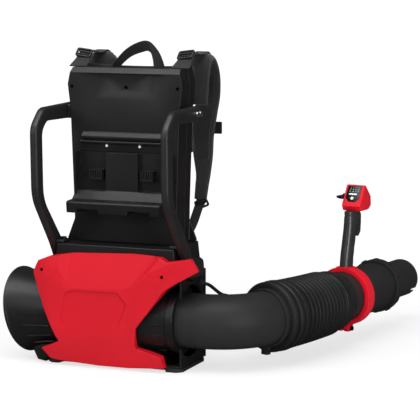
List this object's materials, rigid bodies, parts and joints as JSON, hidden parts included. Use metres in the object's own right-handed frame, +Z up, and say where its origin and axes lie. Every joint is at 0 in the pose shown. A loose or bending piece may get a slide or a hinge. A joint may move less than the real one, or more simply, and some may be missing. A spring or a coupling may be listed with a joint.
{
  "type": "backpack leaf blower",
  "caption": "Battery backpack leaf blower: harnessed tower over an axial fan, with an elbow, a ribbed hose and a blow tube carrying a trigger handle and a short nozzle.",
  "frame": {"origin": "on the ground, on the underside of the skid, under the middle of the battery tower", "axes": "+Z up; +X toward the side that the fan blows out of, the wearer's right; +Y toward the wearer, the way the blow tube points"},
  "size_m": [0.6643, 0.7656, 0.6333],
  "materials": {
    "rubber": "matte, fine grain",
    "charcoal_plastic": "satin mould texture",
    "red_plastic": "satin gloss",
    "steel": "brushed",
    "copper": "varnished winding",
    "impeller_plastic": "satin",
    "tube_plastic": "satin",
    "contact_metal": "plated",
    "white_plastic": "gloss",
    "circuit_board": "lacquered",
    "pad_fabric": "woven mesh",
    "webbing": "ribbed webbing",
    "buckle_plastic": "satin",
    "grip_rubber": "satin overmould",
    "keypad_plastic": "satin"
  },
  "bodies": {
    "pack": {"foot_skid": "rubber", "base_chassis": "charcoal_plastic", "front_cover": "red_plastic", "housing_screws": "steel", "inlet_bell": "charcoal_plastic", "inlet_grille": "charcoal_plastic", "fan_duct": "charcoal_plastic", "stator_vanes": "charcoal_plastic", "motor_can": "steel", "motor_stator": "copper", "motor_bearings": "steel", "tail_cone": "charcoal_plastic", "outlet_cone": "charcoal_plastic", "outlet_ring": "charcoal_plastic", "elbow": "tube_plastic", "rear_hose_clamp": "tube_plastic", "back_panel": "charcoal_plastic", "back_plate": "charcoal_plastic", "battery_dock": "charcoal_plastic", "terminal_block_left": "charcoal_plastic", "terminal_block_right": "charcoal_plastic", "contact_blades": "contact_metal", "dock_lights": "white_plastic", "controller_board": "circuit_board", "side_handle_left": "charcoal_plastic", "side_handle_right": "charcoal_plastic", "handle_bolts": "steel", "back_pad": "pad_fabric", "lumbar_pad": "pad_fabric", "shoulder_strap_left": "pad_fabric", "shoulder_strap_right": "pad_fabric", "lifter_straps": "webbing", "lifter_buckles": "buckle_plastic", "lower_straps": "webbing", "lower_buckles": "buckle_plastic", "haul_loop": "webbing", "sternum_strap": "webbing", "sternum_buckle": "buckle_plastic", "sternum_sliders": "buckle_plastic", "cable_gland": "rubber", "control_cable": "rubber", "cable_grommet": "rubber"},
    "rotor": {"impeller": "impeller_plastic", "motor_shaft": "steel"},
    "hose": {"bellows": "rubber"},
    "tube": {"swivel_tube": "tube_plastic", "front_hose_clamp": "tube_plastic"},
    "nozzle": {"nozzle": "tube_plastic"},
    "handle": {"clamp_ring": "red_plastic", "clamp_bolt": "steel", "grip_left": "grip_rubber", "grip_right": "grip_rubber", "control_head": "red_plastic", "keypad_panel": "keypad_plastic", "trigger_spring": "steel"},
    "trigger": {"trigger": "grip_rubber"},
    "cruise": {"cruise_lever": "grip_rubber"},
    "power_key": {"power_button": "white_plastic"},
    "mode_key": {"mode_button": "white_plastic"}
  },
  "joints": [
    {"name": "impeller_spin", "type": "hinge", "parent": "pack", "child": "rotor", "pos_m": [-0.046, -0.01, 0.095], "axis": [1, 0, 0], "continuous": true},
    {"name": "tube_swing", "type": "hinge", "parent": "pack", "child": "hose", "pos_m": [0.29, 0.13608, 0.095], "axis": [0, 0, 1], "range_deg": [-20, 20], "deforming": ["bellows"]},
    {"name": "tube_lift", "type": "hinge", "parent": "hose", "child": "tube", "pos_m": [0.31458, 0.2278, 0.095], "axis": [0.9848, -0.1736, 0], "range_deg": [-5, 24], "deforming": ["bellows"]},
    {"name": "handle_slide", "type": "slide", "parent": "tube", "child": "handle", "axis": [0.1736, 0.9848, 0], "range_m": [-0.03, 0.04]},
    {"name": "trigger_pull", "type": "hinge", "parent": "handle", "child": "trigger", "pos_m": [0.34456, 0.39411, 0.263], "axis": [-0.9848, 0.1736, 0], "range_deg": [0, 14], "stiffness_Nm_per_rad": 0.08, "springref_deg": -14.32, "deforming": ["trigger_spring"]},
    {"name": "cruise_set", "type": "hinge", "parent": "handle", "child": "cruise", "pos_m": [0.32356, 0.39883, 0.2988], "axis": [-0.9848, 0.1736, 0], "range_deg": [0, 60]},
    {"name": "power_press", "type": "slide", "parent": "handle", "child": "power_key", "axis": [0.1504, 0.8529, -0.5], "range_m": [0, 0.001], "stiffness_N_per_m": 300, "springref_m": -0.001},
    {"name": "mode_press", "type": "slide", "parent": "handle", "child": "mode_key", "axis": [0.1504, 0.8529, -0.5], "range_m": [0, 0.001], "stiffness_N_per_m": 300, "springref_m": -0.001},
    {"name": "nozzle_twist", "type": "hinge", "parent": "tube", "child": "nozzle", "pos_m": [0.36401, 0.50441, 0.095], "axis": [0.1736, 0.9848, 0], "range_deg": [0, 20]}
  ]
}
